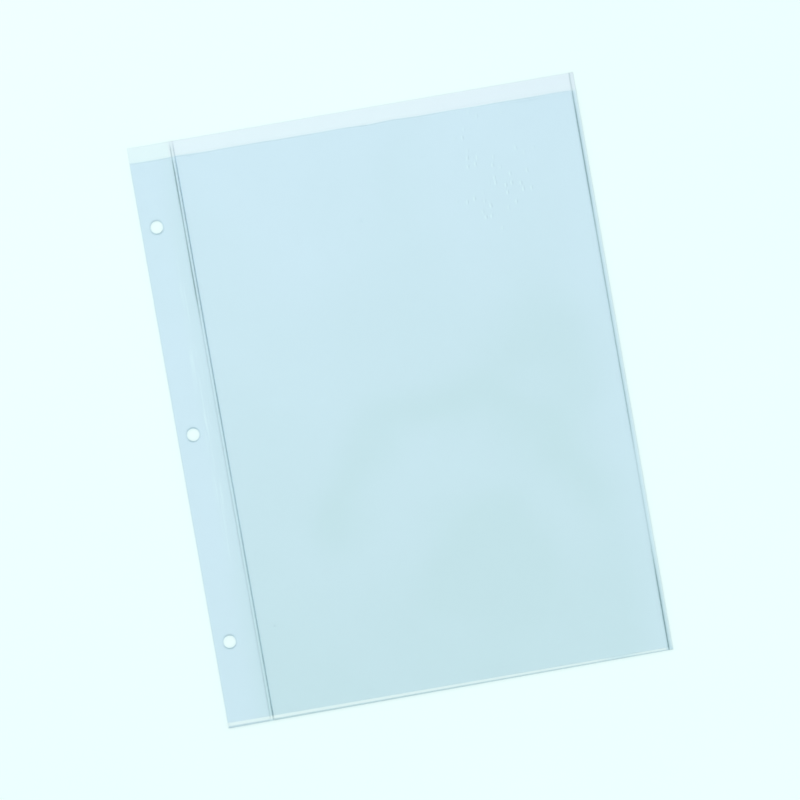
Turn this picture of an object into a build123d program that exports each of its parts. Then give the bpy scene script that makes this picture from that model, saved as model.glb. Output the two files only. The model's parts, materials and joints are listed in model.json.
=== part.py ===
from build123d import *
import math
import os

# Clear three-hole sheet protector, lying on its back with the mouth of the pocket towards +Y.
# Two clear films lie one on the other. A seam weld with a bead along each side parts the binding margin
# from the pocket, and the page folds along the bead on the pocket's side. A side weld and a bottom weld
# close the pocket, and the front film stops short of the top edge, so that its lip lifts to let a sheet in.
# Origin: middle of the page, on the surface that it lies on. Millimetres, +X across the page, +Z up.

# Films
FILM_GAUGE = 0.20  # thickness of each film
POCKET_GAP = 0.20  # room between the films, enough for two sheets of paper

# Page
PAGE_WIDTH = 232.5  # left edge of the margin to right edge of the pocket
PAGE_HEIGHT = 302.0  # bottom edge to the top edge of the back film
LIP_DROP_LEFT = 8.0  # top edge of the front film below that of the back film, at the left edge
LIP_DROP_RIGHT = 9.1  # the same at the right edge

# Binding margin
MARGIN_WIDTH = 21.9  # left edge to the first bead of the seam weld
HOLE_COUNT = 3
HOLE_PITCH = 107.95  # ring to ring in a three-ring binder
HOLE_DIAMETER = 6.35
HOLE_INSET = 8.1  # left edge to the hole centres
HOLE_RISE = 0.8  # middle of the row of holes above the middle of the page

# Welds
SEAM_WIDTH = 1.5  # bead to bead across the seam weld
SIDE_WELD_WIDTH = 2.4
BOTTOM_WELD_WIDTH = 1.6
WELD_THICKNESS = 0.34  # the pressed land of a weld, both films fused
BEAD_WIDTH = 0.6  # ridge of squeezed-out film along the pocket side of a weld
BEAD_FILLET = 0.12  # rounded shoulders of that ridge

# Lip of the pocket's mouth
LIP_DEPTH = 45.0  # how far below the mouth the lifted lip starts to bend

# Movement
PAGE_FOLD = 145.0  # degrees that the pocket folds either way from flat
FOLD_CLEARANCE = 0.08  # folded pocket to the land of the seam weld
LIP_CLEARANCE = 0.10  # round each half of the lip

# Places that follow from the sizes above
STACK = 2 * FILM_GAUGE + POCKET_GAP
FRONT_Z = FILM_GAUGE + POCKET_GAP
MID_Z = STACK / 2
SEAM_BEAD_RADIUS = STACK / 2
LEFT = -PAGE_WIDTH / 2
RIGHT = PAGE_WIDTH / 2
BOTTOM = -PAGE_HEIGHT / 2
TOP = PAGE_HEIGHT / 2
FIRST_BEAD_X = LEFT + MARGIN_WIDTH
SECOND_BEAD_X = FIRST_BEAD_X + SEAM_WIDTH
MARGIN_END = FIRST_BEAD_X - BEAD_WIDTH / 2
POCKET_END = RIGHT - SIDE_WELD_WIDTH
FILM_BOTTOM = BOTTOM + BOTTOM_WELD_WIDTH

# The strip beside the second bead where the film bends: wide enough for the folded pocket to clear the land
FOLD_RADIANS = math.radians(PAGE_FOLD)
CORNER_SINK = WELD_THICKNESS / 2 + FOLD_CLEARANCE - MID_Z * math.cos(FOLD_RADIANS)
POCKET_START = SECOND_BEAD_X + CORNER_SINK / math.sin(FOLD_RADIANS)


def front_top(x):
    """Height up the page of the front film's top edge, at x."""
    share = (x - LEFT) / PAGE_WIDTH
    return TOP - LIP_DROP_LEFT - share * (LIP_DROP_RIGHT - LIP_DROP_LEFT)


def film(corners, z):
    """A film with these corners, lying at height z."""
    outline = make_face(Polyline(*corners, close=True))
    return Pos(0, 0, z) * extrude(outline, FILM_GAUGE)


def film_below(x_start, x_end, top_start, top_end):
    """Corners of a film that reaches down to the bottom weld."""
    return [(x_start, FILM_BOTTOM), (x_end, FILM_BOTTOM), (x_end, top_end), (x_start, top_start)]


def ring_holes():
    """Punches for the binder's rings, long enough to go through both films."""
    punch = Cylinder(HOLE_DIAMETER / 2, 3 * STACK)
    middle = (HOLE_COUNT - 1) / 2
    heights = [HOLE_RISE + (i - middle) * HOLE_PITCH for i in range(HOLE_COUNT)]
    return [Pos(LEFT + HOLE_INSET, height, MID_Z) * punch for height in heights]


def binding_back_film():
    return film(film_below(LEFT, MARGIN_END, TOP, TOP), 0) - ring_holes()


def binding_front_film():
    corners = film_below(LEFT, MARGIN_END, front_top(LEFT), front_top(MARGIN_END))
    return film(corners, FRONT_Z) - ring_holes()


def pocket_back_film():
    """The back film, whole at the top edge, with the side weld's place cut out below the lip."""
    whole = film(film_below(POCKET_START, RIGHT, TOP, TOP), 0)
    weld_place = film(film_below(POCKET_END, RIGHT, front_top(RIGHT), front_top(RIGHT)), 0)
    return whole - weld_place


def mouth_corners():
    """Left corner, middle and right corner of the mouth, and the point below where its bends meet."""
    left = Vector(POCKET_START, front_top(POCKET_START))
    right = Vector(POCKET_END, front_top(POCKET_END))
    middle = (left + right) / 2
    return left, middle, right, middle - Vector(0, LIP_DEPTH)


def pocket_front_film():
    """The front film, without the part of its lip that lifts."""
    left, _, right, foot = mouth_corners()
    corners = [(POCKET_START, FILM_BOTTOM), (POCKET_END, FILM_BOTTOM), right, foot, left]
    return film(corners, FRONT_Z)


def mouth_lip(corner):
    """Half of the lip: from a corner of the mouth to its middle, and down to where the bends meet."""
    _, middle, _, foot = mouth_corners()
    outline = make_face(Polyline(corner, middle, foot, close=True))
    eased = offset(outline, -LIP_CLEARANCE, kind=Kind.INTERSECTION)
    return Pos(0, 0, FRONT_Z) * extrude(eased, FILM_GAUGE)


def edge_weld(width, length):
    """A weld along +Y from the origin, its bead along X = 0 and its land running to X = width."""
    bead = Pos(0, MID_Z) * Rectangle(BEAD_WIDTH, STACK, align=(Align.MIN, Align.CENTER))
    shoulders = bead.vertices().sort_by(Axis.X)[-2:]
    land = Pos(0, MID_Z) * Rectangle(width, WELD_THICKNESS, align=(Align.MIN, Align.CENTER))
    section = Plane.XZ * (fillet(shoulders, BEAD_FILLET) + land)
    return extrude(section, -length)


def side_weld():
    return Pos(POCKET_END, FILM_BOTTOM) * edge_weld(SIDE_WELD_WIDTH, front_top(RIGHT) - FILM_BOTTOM)


def bottom_weld_between(x_start, x_end):
    """A stretch of the weld along the bottom edge, its bead on the pocket side."""
    weld = edge_weld(BOTTOM_WELD_WIDTH, x_end - x_start)
    return Pos(x_start, FILM_BOTTOM) * Rot(0, 0, -90) * weld


def seam_weld():
    """The weld between margin and pocket: a bead on the margin, a land, and the round bead of the fold."""
    margin_side = Pos(MARGIN_END, BOTTOM) * edge_weld(SECOND_BEAD_X - MARGIN_END, PAGE_HEIGHT)
    fold_bead = Cylinder(SEAM_BEAD_RADIUS, PAGE_HEIGHT, rotation=(90, 0, 0))
    return margin_side + Pos(SECOND_BEAD_X, 0, MID_Z) * fold_bead


def sub_parts():
    left, _, right, _ = mouth_corners()
    return {
        "binding_back_film": binding_back_film(),
        "binding_front_film": binding_front_film(),
        "binding_bottom_weld": bottom_weld_between(LEFT, MARGIN_END),
        "seam_weld": seam_weld(),
        "pocket_back_film": pocket_back_film(),
        "pocket_front_film": pocket_front_film(),
        "side_weld": side_weld(),
        "bottom_weld": bottom_weld_between(POCKET_START, RIGHT),
        "mouth_lip_left": mouth_lip(left),
        "mouth_lip_right": mouth_lip(right),
    }


os.makedirs("parts", exist_ok=True)
for name, shape in sub_parts().items():
    export_step(shape, f"parts/{name}.step")
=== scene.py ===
import json
import math

import bpy
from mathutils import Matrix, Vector, noise


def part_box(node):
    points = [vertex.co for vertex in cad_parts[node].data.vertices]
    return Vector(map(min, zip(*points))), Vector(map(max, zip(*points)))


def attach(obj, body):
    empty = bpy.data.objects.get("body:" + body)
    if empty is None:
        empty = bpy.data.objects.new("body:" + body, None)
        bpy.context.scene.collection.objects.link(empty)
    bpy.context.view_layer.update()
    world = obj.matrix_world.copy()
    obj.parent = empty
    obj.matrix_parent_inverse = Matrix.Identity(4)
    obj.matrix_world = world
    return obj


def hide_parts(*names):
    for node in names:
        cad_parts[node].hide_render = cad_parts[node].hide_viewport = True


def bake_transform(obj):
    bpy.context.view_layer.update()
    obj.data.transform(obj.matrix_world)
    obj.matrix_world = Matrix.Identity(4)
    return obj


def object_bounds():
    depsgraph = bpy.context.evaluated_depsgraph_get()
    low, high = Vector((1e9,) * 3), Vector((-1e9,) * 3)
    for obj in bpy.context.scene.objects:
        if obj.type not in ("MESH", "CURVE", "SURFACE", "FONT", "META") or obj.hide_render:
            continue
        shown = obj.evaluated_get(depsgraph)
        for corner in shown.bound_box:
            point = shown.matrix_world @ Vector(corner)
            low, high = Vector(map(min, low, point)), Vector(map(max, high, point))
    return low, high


# Looks of a clear three-hole sheet protector: two pale blue films, welded along the seam, the side and
# the bottom, lying on a pale floor and seen from above. Metres, in the frame of the solids.

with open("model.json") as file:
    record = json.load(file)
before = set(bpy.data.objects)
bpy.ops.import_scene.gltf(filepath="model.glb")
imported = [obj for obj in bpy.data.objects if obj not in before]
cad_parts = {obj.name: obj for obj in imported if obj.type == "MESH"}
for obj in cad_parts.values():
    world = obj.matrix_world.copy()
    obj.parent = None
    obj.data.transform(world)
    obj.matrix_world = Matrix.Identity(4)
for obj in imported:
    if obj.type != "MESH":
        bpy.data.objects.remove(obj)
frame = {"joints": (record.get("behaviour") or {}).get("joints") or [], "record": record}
CAD_LOW, CAD_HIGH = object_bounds()
JOINTS = {joint["name"]: joint for joint in frame["joints"]}
MM = 0.001

# Places and sizes, read off the solids
LEFT, BOTTOM = CAD_LOW.x, CAD_LOW.y
RIGHT, TOP = CAD_HIGH.x, CAD_HIGH.y
STACK = CAD_HIGH.z
BACK_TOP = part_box("pocket_back_film")[1].z
FRONT_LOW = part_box("pocket_front_film")[0].z
MID = STACK / 2
FOLD = Vector(JOINTS["page_fold"]["pos_m"])
SOLID_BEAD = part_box("seam_weld")[1].x - FOLD.x
FIRST_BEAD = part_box("seam_weld")[0].x + SOLID_BEAD
SIDE_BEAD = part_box("pocket_front_film")[1].x + SOLID_BEAD
MOUTH_MIDDLE = (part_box("pocket_front_film")[0].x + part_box("pocket_front_film")[1].x) / 2
FRONT_TOP_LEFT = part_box("binding_front_film")[1].y
FRONT_TOP_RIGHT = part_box("side_weld")[1].y
HOLES = [mount for mount in frame["record"]["mounts"] if mount["kind"] == "bore"]
HOLE_RADIUS = HOLES[0]["dims"]["r_mm"] * MM

# Welds
BEAD_HALF = 0.45 * MM  # half the width of a weld's ridge, with the film drawn in beside it
LAND_HALF = 0.17 * MM  # half the thickness of a weld's pressed land
BAND_RIDGE = 0.08 * MM  # height of the ridges where only the back film is pressed
BAND_FILMS = 0.6  # share of a film's tint that is seen in the band above the mouth
BAND_STREAK = 0.5  # how much paler the band is in its streaks
BAND_STREAK_LENGTH = 60.0 * MM
BAND_STRETCH = 60  # how many times as long as wide a streak is
MARGIN_END = FIRST_BEAD - BEAD_HALF
POCKET_END = SIDE_BEAD - BEAD_HALF
FOOT_LEFT = 3.2 * MM  # width of the bottom weld at the left edge of the page
FOOT_RIGHT = 1.5 * MM  # and at the right edge
FOOT_TAPER = 0.65  # under 1, so that most of the taper is at the left
FOOT_RIDGE = 0.7  # how far up the bottom weld its ridge is, as a share of the weld's width
FOOT_RIDGE_HALF = 0.3  # half the ridge's width, as such a share
BEND = 5.0 * MM  # strip of film beside the seam that curls when the page folds

# Film
EDGE_STEPS = [step * MM for step in (0.0, 0.15, 0.35, 0.6, 0.9, 1.25, 1.6, 2.0)]  # rows along a cut edge
CELL = 5.0 * MM  # usual size of a face
FINE_CELL = 1.0 * MM  # size of a face in the binding margin and along the pocket's bottom weld
WELD_STEP = 0.1 * MM  # width of a face across a weld's ridge
LAND_STEP = 0.16 * MM  # width of a face across the side weld's land
FOOT_STEP = 0.5 * MM  # width of a face along the bottom weld in the margin
CURL_STEP = 0.25 * MM  # width of a face where the film curls
POCKET_ROWS = 60  # rows of faces up the pocket, to the mouth or the crease of its lip
BAND_ROWS = 16  # and in the band above the mouth
MARGIN_LOW_ROWS = 8  # rows in the margin below the lowest hole
MARGIN_HIGH_ROWS = 60  # and above the highest hole
LIP_ROWS = 12
SIDE_ROWS = 72
FOOT_ROWS = 14
WAVE = 0.16 * MM  # how far the front film rises in its slack waves
WAVE_LENGTH = 70.0 * MM
WAVE_START = 25.0 * MM  # from a weld to where the waves have their full height
MOUTH_WAVE = 0.35 * MM  # how far the front film's top edge strays from a straight line
MOUTH_WAVE_LENGTH = 14.0 * MM
HOLE_PATCH = 6.0 * MM  # half the square of small faces round a hole
SHARP_ANGLE = math.radians(50)  # faces that meet more steeply than this keep a crisp edge
SAME_PLACE = 0.01 * MM  # a place closer than this to an edge is on it
NEAREST = 0.0001 * MM  # points that agree to this measure are one point

# Tone: from 0, blue, to 1, grey
POCKET_GREY = 0.9  # how much greyer the pocket is at its bottom than at its top
STRIP_GREY = 0.2  # the same for the binding margin
SEAM_GREY = 0.35  # how much greyer the margin is beside the seam
SIDE_BLUE = 0.35  # share of the pocket's grey that is missing along its right edge
CLING_GREY = 0.38  # how much greyer the places are where the two films cling together
SEAM_STRIP = 12.0 * MM  # width of the margin's greyer strip
SIDE_STRIP = (22.0 * MM, 4.0 * MM)  # from the right edge to where its bluer strip starts and is full
LARGE_CLOUDS = (0.15, 80.0 * MM)  # strength and size
SMALL_CLOUDS = (0.10, 30.0 * MM)
LILAC_LEFT = 0.75  # share of its lilac that the band above the mouth has at its left end
LILAC_RISE = (120.0 * MM, 190.0 * MM)  # from the left edge to where the lilac deepens and is full
LILAC_START = 2.0 * MM  # strip beside the seam over which the lilac starts

# Places where the films cling together: centres in millimetres from the page's lower left corner
CLING_STRAY = 14.0 * MM  # how far these shapes stray from true circles
CLING_STRAY_LENGTH = 30.0 * MM
ARC_CENTRE = (138.0, 82.0)
ARC_RADIUS = 64.0 * MM
ARC_HALF = 24.0 * MM  # half the arc's width
ARC_LEGS = (62.0 * MM, 97.0 * MM)  # heights up the page between which the arc's legs come in
PATCH_CENTRE = (146.0, 64.0)
PATCH_REACH = (48.0 * MM, 14.0 * MM)  # from its centre to where the patch starts and to where it is full
CLOUD_CENTRE = (196.0, 166.0)
CLOUD_REACH = (48.0 * MM, 6.0 * MM)

# Marks of handling, in millimetres from the page's lower left corner
# The dents' pale and dark sides are a painted highlight and painted shade
DENT_CENTRE = (184.0, 258.0)  # middle of the dented place
DENT_REACH = (30.0, 44.0)  # how far it goes across and up
DENT_SPACING = (4.2, 5.5)
DENT_SIZE = 1.05
DENT_SHARE = 0.5  # share of the possible dents that there are
SPECKS = (((112.0, 245.2), 0.7), ((32.3, 47.8), 0.55))  # centre and radius of each speck of dust
STREAK_CENTRE = (15.5, 165.0)
STREAK_REACH = (3.2, 120.0)
STREAK_FINENESS = (1.6, 0.03, 1.0)  # streaks to a millimetre, across and up
STREAK_EDGE = (0.52, 0.64)  # values of the noise between which a streak comes in

# Strengths of painted marks, from 0 for none to 1 for the darkest or palest
DENT_SHADE = 0.13
SPECK_SHADE = 0.18
STREAK_PALE = 0.8
CUT_SHADE = 0.07  # painted shade along a cut edge
RING_BESIDE = 0.08  # painted shade ring round a hole, to its left and right
RING_ABOVE = 0.5  # and above and below it
# The welds' dark lines are painted shade along their ridges
FIRST_LINE = (0.20, 0.70)  # first line of the seam, low on the page and near its top
SECOND_LINE = (0.34, 0.44)  # second line of the seam, low on the page and near its top
SECOND_LINE_FOOT = 0.55  # and at its foot
SIDE_LINE_FOOT = 0.69  # line of the side weld, near the bottom
SIDE_LINE_MIDDLE = 0.42
SIDE_LINE_TOP = 0.67
CORNER_LINE = 0.6  # the same line where it crosses the bottom weld
FOOT_SHADE = 0.2  # painted shade on the lower part of the bottom weld
FOOT_SHADE_END = (0.45, 0.1)  # shares of the weld's width where this shade ends and where it is full

# Pale part of the bottom weld, a painted highlight along it
FOOT_GAP = 0.88  # how far across the page it nearly fades, as a share of the page's width
FOOT_GAP_HALF = 0.06  # half the width of that place, as such a share
FOOT_GAP_DEPTH = 0.7  # how much it fades there
FOOT_CORNER = (0.3 * MM, 2.0 * MM)  # from the side weld's line to where it starts and to where it is full
FOOT_PALE_LOW = (0.2, 0.45)  # shares of the weld's width between which it comes in
FOOT_PALE_HIGH = (1.0, 0.8)  # and between which it goes out

# How the welds' lines of painted shade change along the page: heights as shares of the page's height
FIRST_LINE_RISE = (0.67, 0.76)  # where the seam's first line grows to its full strength
SECOND_LINE_RISE = (0.42, 0.58)  # where the second line does
SECOND_LINE_FOOT_END = (0.018, 0.036)  # where the strong foot of the second line ends
SIDE_FOOT_END = (0.08, 0.20)  # where the strong foot of the side weld's line ends
SIDE_TOP_START = (0.70, 0.85)  # where its strong top starts
SIDE_GAP = (0.12, 0.20, 0.32, 0.42)  # where it fades, is faintest and comes back
SIDE_GAP_DEPTH = 0.6  # how much it fades there
SEAM_NEAR_TOP = (8.0 * MM, 16.0 * MM)  # from the top edge to where the seam's lines are weaker and are full
SEAM_NEAR_TOP_SHARE = 0.5
SEAM_BAND_SHARE = 0.45  # their strength in the band above the mouth
SEAM_END = (0.4 * MM, 4.0 * MM)  # from the top edge to where they end and start to fade
SEAM_FOOT_SHARE = 0.5  # their strength in the bottom weld
SEAM_FOOT = (0.6, 1.0)  # shares of the bottom weld's width between which they weaken
SIDE_NEAR_TOP = (10.0 * MM, 25.0 * MM)  # from the top edge to where the side's line is weaker and is full
SIDE_NEAR_TOP_SHARE = 0.55
SIDE_BAND_SHARE = 0.5
SIDE_OUTSIDE = 0.15  # shade on the land beside the line
SIDE_OUTSIDE_END = (2.0 * MM, 0.4 * MM)  # from the line to where that shade ends and to where it is full
SIDE_PALE = (1.2 * MM, 0.2 * MM)  # from the right edge to where the land turns paler and is palest

# Sizes of painted marks
LINE_CORE = 0.18 * MM  # half the dark middle of a weld's line
RING_MIDDLE = 0.35 * MM  # edge of a hole to the middle of its ring
RING_HALF = 0.7 * MM  # half the ring's width
MOUTH_SOFT = 0.4 * MM  # how softly the films and the welds change at the mouth
CUT_LINE = (0.1 * MM, 0.4 * MM)  # from a cut edge to where its line starts to fade and to where it ends
MOUTH_LINE = (0.2 * MM, 0.9 * MM)  # the same for the line along the mouth
SECOND_MOUTH_LINE = 1.4 * MM  # how far below the mouth its second line is
SECOND_MOUTH_HALF = 0.6 * MM  # half the second line's width
SECOND_MOUTH_SHARE = 0.9  # strength of the second line, as a share of the first
SECOND_MOUTH_END = (45.0 * MM, 25.0 * MM)  # from the right edge to where it starts and is full

# Unevenness of painted marks: the length over which a mark changes, its weakest and its strongest
MOUTH_SHADE = (25.0 * MM, 0.06, 0.2)
RING_UNEVEN = (5.0 * MM, 0.5, 1.0)
FIRST_LINE_UNEVEN = (30.0 * MM, 0.6, 1.0)
SECOND_LINE_UNEVEN = (40.0 * MM, 0.8, 1.1)
SIDE_LINE_UNEVEN = (35.0 * MM, 0.85, 1.1)
FOOT_UNEVEN = (12.0 * MM, 0.85, 1.0)

# Layers of the noise, one for each use
WAVE_LAYER = 0.0
CLOUD_LAYER = 3.0
FINE_CLOUD_LAYER = 5.0
UNEVEN_LAYER = 7.0
MOUTH_LAYER = 9.0
BAND_LAYER = 11.0
CLING_LAYER = 13.0

# Camera, floor and light
CAMERA_LENS = 100.0
CAMERA_SPOT = (-0.02744, 0.01255, 1.1427)
CAMERA_TURN = (-0.384, -1.436, -9.914)  # degrees
FLOOR_DROP = 0.15 * MM
FLOOR_SIZE = 6.0
FLOOR_TINTS = ((0.79, 0.928, 0.896, 1.0), (0.81, 0.948, 0.916, 1.0))
SKY_COLOUR = (0.92, 0.96, 1.0, 1.0)
SKY_STRENGTH = 0.72
LAMPS = (  # name, place, size and watts
    ("key", (-0.9, 0.6, 1.2), (0.9, 0.9), 6.7),
    ("fill", (0.8, -1.0, 1.2), (0.9, 0.9), 8.2),
    ("far", (0.1, 1.6, 0.9), (1.6, 0.7), 4.6),
)


def smooth_step(low, high, value):
    share = min(1.0, max(0.0, (value - low) / (high - low)))
    return share * share * (3 - 2 * share)


def between(start, end, share):
    return start + (end - start) * share


def share_out(start, end, count):
    """Values from start to end in a set number of equal steps."""
    return [between(start, end, i / count) for i in range(count + 1)]


def spaced(start, end, step):
    """Evenly spaced values from start to end, about a step apart."""
    return share_out(start, end, max(1, round(abs(end - start) / step)))


def joined(*runs):
    """Runs of values in one list, with the value that two runs share kept once."""
    values = list(runs[0])
    for run in runs[1:]:
        values += run[1:]
    return values


def ridge(distance, half):
    """A smooth hump, 1 at its middle and 0 from half its width outward."""
    if abs(distance) >= half:
        return 0.0
    return 0.5 + 0.5 * math.cos(math.pi * distance / half)


def wobble(x, y, length, layer):
    """Soft noise about 0, with features of that length."""
    return noise.noise(Vector((x / length, y / length, layer)))


def front_top(x):
    """The front film's top edge, which slopes a little across the page and isn't quite straight."""
    straight = between(FRONT_TOP_LEFT, FRONT_TOP_RIGHT, (x - LEFT) / (RIGHT - LEFT))
    return straight + MOUTH_WAVE * wobble(x, 0.0, MOUTH_WAVE_LENGTH, MOUTH_LAYER)


def foot_top(x):
    """The upper side of the bottom weld."""
    return BOTTOM + between(FOOT_LEFT, FOOT_RIGHT, ((x - LEFT) / (RIGHT - LEFT)) ** FOOT_TAPER)


# The foot of the two bends along which the mouth's lip lifts
BEND_PLACE = Vector(JOINTS["lip_left_bend"]["pos_m"])
BEND_AXIS = Vector(JOINTS["lip_left_bend"]["axis"])
LIP_FOOT = BEND_PLACE.y + BEND_AXIS.y * (MOUTH_MIDDLE - BEND_PLACE.x) / BEND_AXIS.x
LIP_START = FOLD.x + BEND


def lip_crease(x):
    """The line from the mouth's corners to the foot of the bends; above it the lip lifts."""
    if x <= LIP_START:
        return front_top(x)
    if x <= MOUTH_MIDDLE:
        return between(front_top(LIP_START), LIP_FOOT, (x - LIP_START) / (MOUTH_MIDDLE - LIP_START))
    return between(LIP_FOOT, front_top(POCKET_END), (x - MOUTH_MIDDLE) / (POCKET_END - MOUTH_MIDDLE))


class Net:
    """A flat net of points, with faces that run counter-clockwise."""

    def __init__(self):
        self.points = []
        self.faces = []
        self.known = {}

    def point(self, x, y):
        key = (round(x / NEAREST), round(y / NEAREST))
        if key not in self.known:
            self.known[key] = len(self.points)
            self.points.append((x, y))
        return self.known[key]

    def face(self, *corners):
        loop = [self.point(*corner) for corner in corners]
        kept = [index for n, index in enumerate(loop) if index != loop[n - 1]]
        if len(kept) > 2:
            self.faces.append(tuple(kept))

    def columns(self, columns, rows_at, left_out=None):
        """Faces between neighbouring columns; rows_at(x) gives the same number of rows for each.

        A face isn't made where left_out(x, y) is true for its middle."""
        for left, right in zip(columns, columns[1:]):
            low = rows_at(left)
            high = rows_at(right)
            for i in range(len(low) - 1):
                if left_out is None or not left_out((left + right) / 2, (low[i] + low[i + 1]) / 2):
                    self.face((left, low[i]), (right, high[i]), (right, high[i + 1]), (left, low[i + 1]))

    def rim(self):
        """The edges that have a face on one side only, each with that face to its left."""
        edges = {(loop[n - 1], loop[n]) for loop in self.faces for n in range(len(loop))}
        return [edge for edge in edges if edge[::-1] not in edges]


def one_film(x, y):
    return 1.0


def cling(x, y):
    """Places where the two films cling together: an arc over a round patch, and a cloud above them."""
    stray = CLING_STRAY * wobble(x, y, CLING_STRAY_LENGTH, CLING_LAYER)

    def distance(centre):
        return math.hypot(x - LEFT - centre[0] * MM, y - BOTTOM - centre[1] * MM) + stray

    arc = ridge(distance(ARC_CENTRE) - ARC_RADIUS, ARC_HALF) * smooth_step(*ARC_LEGS, y - BOTTOM)
    patch = smooth_step(*PATCH_REACH, distance(PATCH_CENTRE))
    cloud = smooth_step(*CLOUD_REACH, distance(CLOUD_CENTRE))
    return max(arc, patch, cloud)


def tone(x, y):
    """0 where the films look bluest, at the top, to 1 where they look greyest, with soft clouds."""
    down = (TOP - y) / (TOP - BOTTOM)
    clouds = LARGE_CLOUDS[0] * wobble(x, y, LARGE_CLOUDS[1], CLOUD_LAYER)
    clouds += SMALL_CLOUDS[0] * wobble(x, y, SMALL_CLOUDS[1], FINE_CLOUD_LAYER)
    if x < FIRST_BEAD:
        grey = STRIP_GREY * down + SEAM_GREY * smooth_step(SEAM_STRIP, 0.0, FIRST_BEAD - x)
    else:
        near_edge = smooth_step(*SIDE_STRIP, RIGHT - x)
        grey = POCKET_GREY * down * (1.0 - SIDE_BLUE * near_edge) + CLING_GREY * cling(x, y)
    return min(1.0, max(0.0, grey + clouds))


def above_mouth(x, y):
    """1 in the band above the mouth, where the back film lies alone, and 0 below it."""
    return smooth_step(0.0, MOUTH_SOFT, y - front_top(x))


def single(x, y):
    """How lilac the back film looks where it lies alone: not in the margin, most towards the right."""
    rightward = between(LILAC_LEFT, 1.0, smooth_step(*LILAC_RISE, x - LEFT))
    return above_mouth(x, y) * rightward * smooth_step(-LILAC_START, 0.0, x - FIRST_BEAD)


def is_cut(x, y):
    """Whether a place is on a cut edge: round the page, along the mouth or round a hole."""
    distances = [x - LEFT, RIGHT - x, y - BOTTOM, TOP - y, abs(y - front_top(x))]
    for hole in HOLES:
        distances.append(math.hypot(x - hole["pos_m"][0], y - hole["pos_m"][1]) - HOLE_RADIUS)
    return min(distances) < SAME_PLACE


def sheet(name, net, lower, upper, material, shade, films=one_film):
    """A closed thin piece on a flat net, between two heights, with its painted dark and pale places."""
    count = len(net.points)
    rim = sorted(net.rim())
    verts = [(x, y, upper(x, y)) for x, y in net.points]
    verts += [(x, y, lower(x, y)) for x, y in net.points]
    faces = list(net.faces)
    faces += [tuple(index + count for index in reversed(loop)) for loop in net.faces]
    faces += [(a + count, b + count, b, a) for a, b in rim]
    # Wall faces on cut edges take the full dark tint: painted shade along the cut edges
    cut = [float(is_cut(*net.points[a]) and is_cut(*net.points[b])) for a, b in rim]
    mesh = bpy.data.meshes.new(name)
    mesh.from_pydata(verts, [], faces)
    mesh.materials.append(material)
    mesh.polygons.foreach_set("use_smooth", [True] * len(faces))
    mesh.set_sharp_from_angle(angle=SHARP_ANGLE)
    page = mesh.attributes.new("page", "FLOAT_VECTOR", "POINT")
    for index, (x, y) in enumerate(net.points * 2):
        page.data[index].vector = ((x - LEFT) / MM, (y - BOTTOM) / MM, 0.0)
    for title, paint in (("tone", tone), ("single", single), ("shade", shade), ("films", films)):
        values = [paint(x, y) for x, y in net.points]
        mesh.attributes.new(title, "FLOAT", "POINT").data.foreach_set("value", values * 2)
    dark_faces = [0.0] * (2 * len(net.faces)) + cut
    mesh.attributes.new("rim", "FLOAT", "FACE").data.foreach_set("value", dark_faces)
    mesh.validate()
    piece = bpy.data.objects.new(name, mesh)
    bpy.context.scene.collection.objects.link(piece)
    return piece


def add_node(tree, kind, **settings):
    node = tree.nodes.new(kind)
    for name, value in settings.items():
        setattr(node, name, value)
    return node


def feed(tree, socket, value):
    """Sets a socket to a plain value, or links another node's output to it."""
    if isinstance(value, bpy.types.NodeSocket):
        tree.links.new(value, socket)
    else:
        socket.default_value = value


def calculate(tree, operation, first, second):
    node = add_node(tree, "ShaderNodeMath", operation=operation)
    feed(tree, node.inputs[0], first)
    feed(tree, node.inputs[1], second)
    return node.outputs[0]


def ramp(tree, value, low, high):
    """0 below low, 1 above high, and smooth between."""
    node = add_node(tree, "ShaderNodeMapRange", interpolation_type="SMOOTHSTEP")
    feed(tree, node.inputs["Value"], value)
    node.inputs["From Min"].default_value = low
    node.inputs["From Max"].default_value = high
    return node.outputs[0]


def mix_colours(tree, share, first, second):
    # This kind of node has its two colours at inputs 6 and 7 and the mixed colour at output 2
    node = add_node(tree, "ShaderNodeMix", data_type="RGBA")
    feed(tree, node.inputs[0], share)
    feed(tree, node.inputs[6], first)
    feed(tree, node.inputs[7], second)
    return node.outputs[2]


def read_attribute(tree, name, output):
    return add_node(tree, "ShaderNodeAttribute", attribute_name=name).outputs[output]


def stretched(tree, vector, scale):
    node = add_node(tree, "ShaderNodeVectorMath", operation="MULTIPLY")
    feed(tree, node.inputs[0], vector)
    node.inputs[1].default_value = scale
    return node.outputs[0]


def noise_of(tree, vector, scale, detail):
    node = add_node(tree, "ShaderNodeTexNoise")
    feed(tree, node.inputs["Vector"], vector)
    node.inputs["Scale"].default_value = scale
    node.inputs["Detail"].default_value = detail
    return node.outputs[0]


def distance_from(tree, vector, centre, reach):
    """How far a place on the page is from a centre, counted in reaches across and up."""
    offset = add_node(tree, "ShaderNodeVectorMath", operation="SUBTRACT")
    feed(tree, offset.inputs[0], vector)
    offset.inputs[1].default_value = (centre[0], centre[1], 0.0)
    scaled = stretched(tree, offset.outputs[0], (1 / reach[0], 1 / reach[1], 0.0))
    node = add_node(tree, "ShaderNodeVectorMath", operation="LENGTH")
    feed(tree, node.inputs[0], scaled)
    return node.outputs["Value"]


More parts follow.
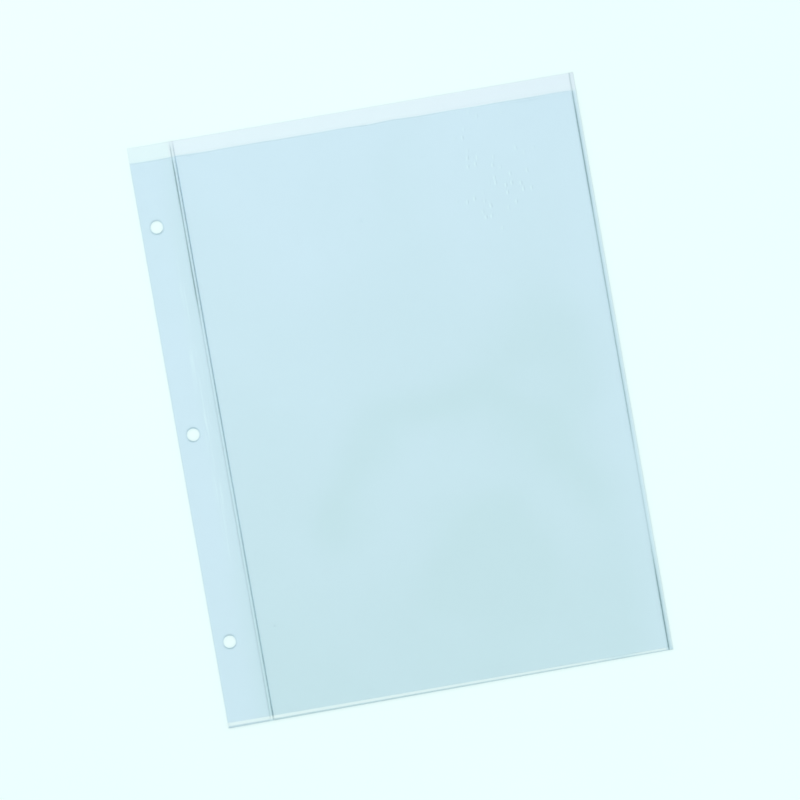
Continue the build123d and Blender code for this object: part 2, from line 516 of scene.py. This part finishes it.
def spots(tree, page, spacing, size, share):
    """Small spots of uneven strength, and how far to the right of its spot's middle a place is.

    Spacing and size are in millimetres, and share is the share of the possible spots that there are."""
    node = add_node(tree, "ShaderNodeTexVoronoi", feature="F1", voronoi_dimensions="2D")
    place = stretched(tree, page, (1 / spacing[0], 1 / spacing[1], 0.0))
    feed(tree, node.inputs["Vector"], place)
    node.inputs["Scale"].default_value = 1.0
    reach = size / spacing[0]
    near = ramp(tree, node.outputs["Distance"], reach, 0.6 * reach)
    split = add_node(tree, "ShaderNodeSeparateColor")
    feed(tree, split.inputs[0], node.outputs["Color"])
    spot = calculate(tree, "MULTIPLY", near, ramp(tree, split.outputs[0], 1.0 - share, 1.02 - share))
    spot = calculate(tree, "MULTIPLY", spot, ramp(tree, split.outputs[1], -0.1, 0.7))
    offset = add_node(tree, "ShaderNodeVectorMath", operation="SUBTRACT")
    feed(tree, offset.inputs[0], place)
    feed(tree, offset.inputs[1], node.outputs["Position"])
    axes = add_node(tree, "ShaderNodeSeparateXYZ")
    feed(tree, axes.inputs[0], offset.outputs[0])
    return spot, calculate(tree, "DIVIDE", axes.outputs[0], reach)


def dents(tree, page):
    """Small dents at the pocket's upper right: painted highlight on each one's left side, painted shade on
    its right.
    """
    patch = ramp(tree, distance_from(tree, page, DENT_CENTRE, DENT_REACH), 1.0, 0.6)
    spot, side = spots(tree, page, DENT_SPACING, DENT_SIZE, DENT_SHARE)
    dent = calculate(tree, "MULTIPLY", spot, patch)
    pale = calculate(tree, "MULTIPLY", dent, ramp(tree, side, 0.2, -0.2))
    dark = calculate(tree, "MULTIPLY", dent, ramp(tree, side, 0.1, 0.4))
    return pale, dark


def specks(tree, page):
    """Two specks of dust on the pocket."""
    shares = []
    for centre, size in SPECKS:
        shares.append(ramp(tree, distance_from(tree, page, centre, (size, size)), 1.0, 0.7))
    return calculate(tree, "MAXIMUM", *shares)


def streaks(tree, page):
    """Fine pale streaks up the binding margin."""
    streak = noise_of(tree, stretched(tree, page, STREAK_FINENESS), 1.0, 1.0)
    strip = ramp(tree, distance_from(tree, page, STREAK_CENTRE, STREAK_REACH), 1.0, 0.4)
    return calculate(tree, "MULTIPLY", ramp(tree, streak, *STREAK_EDGE), strip)


def clear_material(name, look):
    """Clear glossy vinyl. Its tints are what one face of one film lets through."""
    material = bpy.data.materials.new(name)
    material.use_nodes = True
    tree = material.node_tree
    tree.nodes.clear()
    page = read_attribute(tree, "page", "Vector")

    # Tint: from blue to grey by the painted tone, lilac where one film lies alone, deeper where two films
    # are fused, darker by painted shade and specks of dust, paler by painted highlights on dents and in
    # streaks
    thin = mix_colours(tree, read_attribute(tree, "tone", "Fac"), look["blue_tint"], look["grey_tint"])
    thin = mix_colours(tree, read_attribute(tree, "single", "Fac"), thin, look["single_tint"])
    fused = add_node(tree, "ShaderNodeGamma")
    feed(tree, fused.inputs["Color"], thin)
    feed(tree, fused.inputs["Gamma"], read_attribute(tree, "films", "Fac"))
    tint = fused.outputs[0]
    haze = look["haze"]
    dark = read_attribute(tree, "shade", "Fac")
    dark = calculate(tree, "MAXIMUM", dark, read_attribute(tree, "rim", "Fac"))
    if look["handled"]:
        # Painted highlight and painted shade on the dents' two sides
        highlight_side, shaded_side = dents(tree, page)
        dark = calculate(tree, "MAXIMUM", dark, calculate(tree, "MULTIPLY", shaded_side, DENT_SHADE))
        dust = calculate(tree, "MULTIPLY", specks(tree, page), SPECK_SHADE)
        dark = calculate(tree, "MAXIMUM", dark, dust)
        streak = calculate(tree, "MULTIPLY", streaks(tree, page), STREAK_PALE)
        highlight_and_streak = calculate(tree, "MAXIMUM", highlight_side, streak)
        tint = mix_colours(tree, highlight_and_streak, tint, look["rubbed_tint"])
        haze = calculate(tree, "MULTIPLY", haze, calculate(tree, "SUBTRACT", 1.0, highlight_and_streak))
    clear = add_node(tree, "ShaderNodeBsdfTransparent")
    feed(tree, clear.inputs["Color"], mix_colours(tree, dark, tint, look["dark_tint"]))

    # A little haze that scatters light
    milky = add_node(tree, "ShaderNodeBsdfDiffuse")
    milky.inputs["Color"].default_value = look["haze_colour"]
    body = add_node(tree, "ShaderNodeMixShader")
    feed(tree, body.inputs[0], haze)
    feed(tree, body.inputs[1], clear.outputs[0])
    feed(tree, body.inputs[2], milky.outputs[0])

    # Gloss: little seen head on, more at a slant
    bump = add_node(tree, "ShaderNodeBump")
    bump.inputs["Strength"].default_value = look["ripple_strength"]
    bump.inputs["Distance"].default_value = look["ripple_height"]
    feed(tree, bump.inputs["Height"], noise_of(tree, page, look["ripple"], 0.0))
    gloss = add_node(tree, "ShaderNodeBsdfAnisotropic")
    gloss.inputs["Roughness"].default_value = look["roughness"]
    feed(tree, gloss.inputs["Normal"], bump.outputs[0])
    slant = add_node(tree, "ShaderNodeLayerWeight")
    slant.inputs["Blend"].default_value = 0.5
    steep = calculate(tree, "POWER", slant.outputs["Facing"], look["slant_power"])
    mirror = calculate(tree, "MULTIPLY_ADD", steep, look["slant_mirror"])
    mirror.node.inputs[2].default_value = look["head_on_mirror"]
    surface = add_node(tree, "ShaderNodeMixShader")
    feed(tree, surface.inputs[0], mirror)
    feed(tree, surface.inputs[1], body.outputs[0])
    feed(tree, surface.inputs[2], gloss.outputs[0])
    output = add_node(tree, "ShaderNodeOutputMaterial")
    feed(tree, output.inputs["Surface"], surface.outputs[0])
    return material


VINYL = {
    "blue_tint": (0.9725, 0.985, 1.0, 1.0),
    "grey_tint": (0.959, 0.977, 0.986, 1.0),
    "single_tint": (0.972, 0.967, 1.0, 1.0),
    "dark_tint": (0.78, 0.84, 0.86, 1.0),
    "rubbed_tint": (0.982, 0.993, 1.0, 1.0),
    "haze_colour": (0.90, 0.98, 0.97, 1.0),
    "haze": 0.01,
    "ripple": 0.09,
    "ripple_strength": 0.25,
    "ripple_height": 0.2 * MM,
    "roughness": 0.09,
    "head_on_mirror": 0.012,
    "slant_mirror": 0.7,
    "slant_power": 5.0,
    "handled": True,
}
FILM_LOOK = clear_material("clear_film", VINYL)
WELD_LOOK = clear_material("pressed_weld", VINYL | {
    "dark_tint": (0.56, 0.64, 0.655, 1.0),
    "haze": 0.02,
    "ripple": 0.4,
    "roughness": 0.16,
    "handled": False,
})


# Heights of the films
def flat_at(height):
    return lambda x, y: height


def slack(x, y):
    """How far the pocket's front film stands off its flat place in slack waves: nothing at the welds."""
    from_seam = smooth_step(0.0, WAVE_START, x - FOLD.x - BEND)
    from_side = smooth_step(0.0, WAVE_START, POCKET_END - x)
    from_foot = smooth_step(0.0, WAVE_START, y - foot_top(x))
    wave = 0.5 + 0.5 * wobble(x, y, WAVE_LENGTH, WAVE_LAYER)
    return WAVE * from_seam * from_side * from_foot * wave


def pocket_front_low(x, y):
    return FRONT_LOW + slack(x, y)


def pocket_front_high(x, y):
    return STACK + slack(x, y)


# Painted places
def cut_edge(*distances):
    """The faint line of painted shade along a cut edge, for the nearest of these edges."""
    return CUT_SHADE * (1.0 - smooth_step(*CUT_LINE, min(distances)))


def uneven(x, y, length, low, high):
    """A share between low and high that changes slowly along the page."""
    return between(low, high, min(1.0, max(0.0, 0.5 + 0.9 * wobble(x, y, length, UNEVEN_LAYER))))


def weld_line(distance):
    """The line of painted shade along a weld's ridge."""
    return 1.0 - smooth_step(LINE_CORE, BEAD_HALF, abs(distance))


def hole_ring(x, y):
    """The soft ring of painted shade round each hole, plainer above and below it."""
    ring = 0.0
    for hole in HOLES:
        across = x - hole["pos_m"][0]
        up = y - hole["pos_m"][1]
        distance = math.hypot(across, up)
        if distance < HOLE_RADIUS + RING_MIDDLE + RING_HALF:
            plain = between(RING_BESIDE, RING_ABOVE, (up / distance) ** 2) * uneven(x, y, *RING_UNEVEN)
            ring = plain * ridge(distance - HOLE_RADIUS - RING_MIDDLE, RING_HALF)
    return ring


def mouth_line(x, y):
    """The faint line of painted shade along the top edge of the front film, and a second one near its right
    end.
    """
    below = front_top(x) - y
    line = 1.0 - smooth_step(*MOUTH_LINE, below)
    second = SECOND_MOUTH_SHARE * ridge(below - SECOND_MOUTH_LINE, SECOND_MOUTH_HALF)
    second *= smooth_step(*SECOND_MOUTH_END, RIGHT - x)
    return uneven(x, y, *MOUTH_SHADE) * max(line, second)


def band_films(x, y):
    """Share of the back film's tint that is seen: less in the band above the mouth, in faint streaks."""
    streak = 1.0 - BAND_STREAK * max(0.0, wobble(x, y * BAND_STRETCH, BAND_STREAK_LENGTH, BAND_LAYER))
    return between(1.0, BAND_FILMS * streak, above_mouth(x, y))


def foot_share(x, y):
    """How far up the bottom weld a place is, from 0 at the cut edge to 1 at the weld's upper side."""
    return (y - BOTTOM) / (foot_top(x) - BOTTOM)


def foot_films(x, y):
    """Share of the films' tint that is seen in the bottom weld: little in its pale upper part, a painted
    highlight.
    """
    across = (x - LEFT) / (RIGHT - LEFT)
    strength = 1.0 - FOOT_GAP_DEPTH * ridge(across - FOOT_GAP, FOOT_GAP_HALF)
    strength *= smooth_step(*FOOT_CORNER, SIDE_BEAD - x)
    up = foot_share(x, y)
    pale = smooth_step(*FOOT_PALE_LOW, up) * smooth_step(*FOOT_PALE_HIGH, up)
    return 1.0 - strength * pale * uneven(x, 0.0, *FOOT_UNEVEN)


def edge_rows(top, insets=EDGE_STEPS):
    """Rows that lie close together below an edge."""
    return [top - inset for inset in reversed(insets)]


def front_rows(x):
    """Rows of the front film in the pocket, from the bottom weld to the crease of the lip."""
    last = edge_rows(lip_crease(x))
    return joined(share_out(foot_top(x), last[0], POCKET_ROWS), last)


def back_rows(x):
    """Rows of the back film in the pocket, finer in the band above the mouth."""
    mouth = front_top(x)
    last = edge_rows(TOP)
    return joined(share_out(foot_top(x), mouth, POCKET_ROWS), share_out(mouth, last[0], BAND_ROWS), last)


def margin_net(top_at):
    """The margin of one film, with a patch of small faces round each hole."""
    net = Net()
    hole_x = HOLES[0]["pos_m"][0]
    across = joined(
        [LEFT + inset for inset in EDGE_STEPS],
        spaced(LEFT + EDGE_STEPS[-1], hole_x - HOLE_PATCH, FINE_CELL),
        spaced(hole_x - HOLE_PATCH, hole_x + HOLE_PATCH, FINE_CELL),
        spaced(hole_x + HOLE_PATCH, MARGIN_END, FINE_CELL),
    )
    heights = sorted(hole["pos_m"][1] for hole in HOLES)
    stops = [h + side * HOLE_PATCH for h in heights for side in (-1, 1)]

    def rows_at(x):
        last = edge_rows(top_at(x))
        runs = [share_out(foot_top(x), stops[0], MARGIN_LOW_ROWS)]
        for i, (start, end) in enumerate(zip(stops, stops[1:])):
            runs.append(spaced(start, end, CELL if i % 2 else FINE_CELL))
        return joined(*runs, share_out(stops[-1], last[0], MARGIN_HIGH_ROWS), last)

    def in_patch(x, y):
        return any(abs(x - hole_x) < HOLE_PATCH and abs(y - h) < HOLE_PATCH for h in heights)

    net.columns(across, rows_at, left_out=in_patch)
    for height in heights:
        hole_patch(net, hole_x, height)
    return net


def hole_patch(net, hole_x, hole_y):
    """Rings of faces from a square in the net to the round edge of a hole."""
    side = spaced(-HOLE_PATCH, HOLE_PATCH, FINE_CELL)
    square = [(s, -HOLE_PATCH) for s in side[:-1]]
    square += [(HOLE_PATCH, s) for s in side[:-1]]
    square += [(-s, HOLE_PATCH) for s in side[:-1]]
    square += [(-HOLE_PATCH, -s) for s in side[:-1]]

    def loop(inset):
        circle = []
        for x, y in square:
            scale = (HOLE_RADIUS + inset) / math.hypot(x, y)
            circle.append((hole_x + x * scale, hole_y + y * scale))
        return circle

    loops = [[(hole_x + x, hole_y + y) for x, y in square]]
    loops += [loop(inset) for inset in reversed(EDGE_STEPS)]
    for outer, inner in zip(loops, loops[1:]):
        for n in range(len(outer)):
            net.face(outer[n - 1], outer[n], inner[n], inner[n - 1])


def margin_films():
    def back_shade(x, y):
        return max(hole_ring(x, y), cut_edge(x - LEFT, TOP - y))

    def front_shade(x, y):
        return max(hole_ring(x, y), cut_edge(x - LEFT), mouth_line(x, y))

    back = sheet("margin_back", margin_net(lambda x: TOP), flat_at(0.0), flat_at(BACK_TOP),
                 FILM_LOOK, back_shade, band_films)
    front = sheet("margin_front", margin_net(front_top), flat_at(FRONT_LOW), flat_at(STACK),
                  FILM_LOOK, front_shade)
    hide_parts("binding_back_film")
    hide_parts("binding_front_film")
    for piece in (back, front):
        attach(piece, "binding_margin")


def pocket_columns():
    curl = spaced(FOLD.x, FOLD.x + BEND, CURL_STEP)
    return joined(curl, spaced(curl[-1], MOUTH_MIDDLE, CELL), spaced(MOUTH_MIDDLE, POCKET_END, CELL))


def bend_at_seam(piece):
    """Bakes the piece's placement into its mesh."""
    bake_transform(piece)


def pocket_films():
    back_net = Net()
    back_net.columns(pocket_columns(), back_rows)
    back = sheet("pocket_back", back_net, flat_at(0.0), flat_at(BACK_TOP), FILM_LOOK,
                 lambda x, y: cut_edge(TOP - y), band_films)
    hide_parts("pocket_back_film")

    front_net = Net()
    front_net.columns(pocket_columns(), front_rows)
    front = sheet("pocket_front", front_net, pocket_front_low, pocket_front_high, FILM_LOOK, mouth_line)
    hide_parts("pocket_front_film")
    for piece in (back, front):
        bend_at_seam(piece)


def lip_half(name, node, columns, inward):
    """Half of the mouth's lip, from its crease up to the mouth."""
    def rows_at(x):
        low = lip_crease(x)
        high = front_top(x)
        insets = [min(inset, (high - low) * inset / (2 * EDGE_STEPS[-1])) for inset in EDGE_STEPS]
        last = edge_rows(high, insets)
        return joined(share_out(low, last[0], LIP_ROWS), last)

    net = Net()
    net.columns(columns, rows_at)
    piece = sheet(name, net, pocket_front_low, pocket_front_high, FILM_LOOK, mouth_line)
    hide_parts(node)
    crease_end = columns[0] if inward > 0 else columns[-1]
    foot = Vector((MOUTH_MIDDLE, LIP_FOOT, STACK))
    along = Vector((crease_end, front_top(crease_end), STACK)) - foot
    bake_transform(piece)


def lips():
    left_columns = spaced(LIP_START, MOUTH_MIDDLE, CELL)
    right_columns = spaced(MOUTH_MIDDLE, POCKET_END, CELL)
    lip_half("lip_left", "mouth_lip_left", left_columns, 1)
    lip_half("lip_right", "mouth_lip_right", right_columns, -1)


def pressed(y, mouth):
    """1 where both films are welded, 0 in the band above the mouth where only the back film is."""
    return 1.0 - smooth_step(mouth - MOUTH_SOFT, mouth + MOUTH_SOFT, y)


def weld_heights(ridges_at, mouth):
    """Lower and upper heights of an upright weld whose ridges are given by ridges_at(x)."""
    def upper(x, y):
        hump = ridges_at(x)
        both = between(MID + LAND_HALF, STACK, hump)
        one = BACK_TOP + BAND_RIDGE * hump * smooth_step(0.6 * MM, 2.0 * MM, TOP - y)
        return between(one, both, pressed(y, mouth))

    def lower(x, y):
        return between(MID - LAND_HALF, 0.0, ridges_at(x)) * pressed(y, mouth)

    return lower, upper


def rows_at_mouth(mouth):
    """Rows of an upright weld from just below the mouth to the top edge."""
    return joined(
        spaced(mouth - 1.0 * MM, mouth + 1.0 * MM, 0.2 * MM),
        spaced(mouth + 1.0 * MM, TOP - 2.0 * MM, 1.0 * MM),
        spaced(TOP - 2.0 * MM, TOP, 0.4 * MM),
    )


def seam():
    """The seam weld: two ridges and a pressed land between; the left one is plain only near the top."""
    def ridges_at(x):
        return max(ridge(x - FIRST_BEAD, BEAD_HALF), ridge(x - FOLD.x, BEAD_HALF))

    # Painted shade: the dark lines along the seam's two ridges
    def line_shade(x, y):
        height = (y - BOTTOM) / (TOP - BOTTOM)
        first = between(*FIRST_LINE, smooth_step(*FIRST_LINE_RISE, height))
        first *= uneven(x, y, *FIRST_LINE_UNEVEN)
        second = between(*SECOND_LINE, smooth_step(*SECOND_LINE_RISE, height))
        second *= uneven(x, y, *SECOND_LINE_UNEVEN)
        second = between(SECOND_LINE_FOOT, second, smooth_step(*SECOND_LINE_FOOT_END, height))
        below = between(SEAM_NEAR_TOP_SHARE, 1.0, smooth_step(*SEAM_NEAR_TOP, TOP - y))
        ends = between(SEAM_BAND_SHARE, below, pressed(y, mouth)) * smooth_step(*SEAM_END, TOP - y)
        ends *= between(SEAM_FOOT_SHARE, 1.0, smooth_step(*SEAM_FOOT, foot_share(x, y)))
        line = max(first * weld_line(x - FIRST_BEAD), second * weld_line(x - FOLD.x)) * ends
        return max(line, cut_edge(TOP - y))

    def films(x, y):
        return between(BAND_FILMS, 2.0, pressed(y, mouth)) * foot_films(x, y)

    mouth = front_top(FIRST_BEAD)
    lower, upper = weld_heights(ridges_at, mouth)
    columns = spaced(MARGIN_END, FOLD.x + BEAD_HALF, WELD_STEP)
    upper_rows = rows_at_mouth(mouth)
    rows = joined(
        spaced(BOTTOM, BOTTOM + 4 * MM, 0.4 * MM),
        spaced(BOTTOM + 4 * MM, upper_rows[0], 4 * MM),
        upper_rows,
    )
    net = Net()
    net.columns(columns, lambda x: rows)
    piece = sheet("seam", net, lower, upper, WELD_LOOK, line_shade, films)
    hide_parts("seam_weld")
    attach(piece, "binding_margin")


def side():
    """The side weld: one ridge on the pocket's side and a pale land out to the edge."""
    def ridges_at(x):
        return ridge(x - SIDE_BEAD, BEAD_HALF)

    # Painted shade: the dark line along the side weld's ridge and on the land beside it
    def line_shade(x, y):
        height = (y - BOTTOM) / (TOP - BOTTOM)
        strength = between(SIDE_LINE_FOOT, SIDE_LINE_MIDDLE, smooth_step(*SIDE_FOOT_END, height))
        strength = between(strength, SIDE_LINE_TOP, smooth_step(*SIDE_TOP_START, height))
        fades, faint, back, whole = SIDE_GAP
        gap = smooth_step(fades, faint, height) * smooth_step(whole, back, height)
        strength *= 1.0 - SIDE_GAP_DEPTH * gap
        strength *= between(SIDE_NEAR_TOP_SHARE, 1.0, smooth_step(*SIDE_NEAR_TOP, TOP - y))
        strength *= between(SIDE_BAND_SHARE, 1.0, pressed(y, mouth)) * uneven(x, y, *SIDE_LINE_UNEVEN)
        outside = SIDE_OUTSIDE * smooth_step(*SIDE_OUTSIDE_END, x - SIDE_BEAD) if x > SIDE_BEAD else 0.0
        line = strength * max(weld_line(x - SIDE_BEAD), outside)
        return max(line, cut_edge(TOP - y, RIGHT - x))

    def films(x, y):
        """Paler towards the edge."""
        both = between(2.0, 1.0, smooth_step(*SIDE_PALE, RIGHT - x))
        return between(BAND_FILMS, both, pressed(y, mouth))

    mouth = front_top(RIGHT)
    lower, upper = weld_heights(ridges_at, mouth)
    columns = joined(spaced(POCKET_END, SIDE_BEAD + BEAD_HALF, WELD_STEP),
                     spaced(SIDE_BEAD + BEAD_HALF, RIGHT, LAND_STEP))
    upper_rows = rows_at_mouth(mouth)

    def rows_at(x):
        return joined(share_out(foot_top(x), upper_rows[0], SIDE_ROWS), upper_rows)

    net = Net()
    net.columns(columns, rows_at)
    piece = sheet("side_seal", net, lower, upper, WELD_LOOK, line_shade, films)
    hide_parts("side_weld")
    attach(piece, "pocket")


def foot(name, node, columns):
    """A stretch of the bottom weld: painted highlight above, painted shade at its cut edge; the side's line
    ends on it.
    """
    def hump(x, y):
        return ridge(foot_share(x, y) - FOOT_RIDGE, FOOT_RIDGE_HALF)

    def upper(x, y):
        return between(MID + LAND_HALF, STACK, hump(x, y))

    def lower(x, y):
        return between(MID - LAND_HALF, 0.0, hump(x, y))

    # Painted shade: the weld's lower part, and the side's line where it crosses the weld
    def grey(x, y):
        cut = FOOT_SHADE * smooth_step(*FOOT_SHADE_END, foot_share(x, y))
        return max(cut, CORNER_LINE * weld_line(x - SIDE_BEAD))

    def films(x, y):
        return 2.0 * foot_films(x, y)

    def rows_at(x):
        return share_out(BOTTOM, foot_top(x), FOOT_ROWS)

    net = Net()
    net.columns(columns, rows_at)
    piece = sheet(name, net, lower, upper, WELD_LOOK, grey, films)
    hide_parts(node)
    return piece


def bottom_welds():
    margin_columns = spaced(LEFT, MARGIN_END, FOOT_STEP)
    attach(foot("margin_foot", "binding_bottom_weld", margin_columns), "binding_margin")
    curl = spaced(FOLD.x + BEAD_HALF, FOLD.x + BEND, CURL_STEP)
    corner = spaced(SIDE_BEAD - 1.0 * MM, RIGHT, WELD_STEP)
    columns = joined(curl, spaced(curl[-1], corner[0], FINE_CELL), corner)
    bend_at_seam(foot("pocket_foot", "bottom_weld", columns))


def floor():
    """A plain pale floor with a faint mottle."""
    mesh = bpy.data.meshes.new("floor")
    half = FLOOR_SIZE / 2
    corners = [(-half, -half), (half, -half), (half, half), (-half, half)]
    mesh.from_pydata([(x, y, -FLOOR_DROP) for x, y in corners], [], [(0, 1, 2, 3)])
    material = bpy.data.materials.new("pale_floor")
    material.use_nodes = True
    tree = material.node_tree
    shader = tree.nodes["Principled BSDF"]
    place = add_node(tree, "ShaderNodeTexCoord").outputs["Object"]
    mottle = noise_of(tree, place, 9.0, 3.0)
    feed(tree, shader.inputs["Base Color"], mix_colours(tree, mottle, *FLOOR_TINTS))
    shader.inputs["Roughness"].default_value = 0.9
    shader.inputs["Specular IOR Level"].default_value = 0.1
    mesh.materials.append(material)
    piece = bpy.data.objects.new("floor", mesh)
    bpy.context.scene.collection.objects.link(piece)


def softbox(name, place, size, watts):
    """A large soft lamp aimed at the middle of the page."""
    data = bpy.data.lights.new(name, "AREA")
    data.shape = "RECTANGLE"
    data.size = size[0]
    data.size_y = size[1]
    data.energy = watts
    lamp = bpy.data.objects.new(name, data)
    lamp.location = place
    lamp.rotation_euler = (-Vector(place)).to_track_quat("-Z", "Y").to_euler()
    bpy.context.scene.collection.objects.link(lamp)


def studio():
    scene = bpy.context.scene
    world = bpy.data.worlds.new("studio")
    world.use_nodes = True
    background = world.node_tree.nodes["Background"]
    background.inputs["Color"].default_value = SKY_COLOUR
    background.inputs["Strength"].default_value = SKY_STRENGTH
    scene.world = world
    for lamp in LAMPS:
        softbox(*lamp)
    scene.view_settings.view_transform = "Standard"
    scene.cycles.transparent_max_bounces = 32
    scene.cycles.diffuse_bounces = 1
    scene.cycles.glossy_bounces = 2


def camera():
    data = bpy.data.cameras.new("camera")
    data.lens = CAMERA_LENS
    piece = bpy.data.objects.new("camera", data)
    piece.location = CAMERA_SPOT
    piece.rotation_euler = [math.radians(angle) for angle in CAMERA_TURN]
    bpy.context.scene.collection.objects.link(piece)
    bpy.context.scene.camera = piece


margin_films()
pocket_films()
lips()
seam()
side()
bottom_welds()
floor()
studio()
camera()
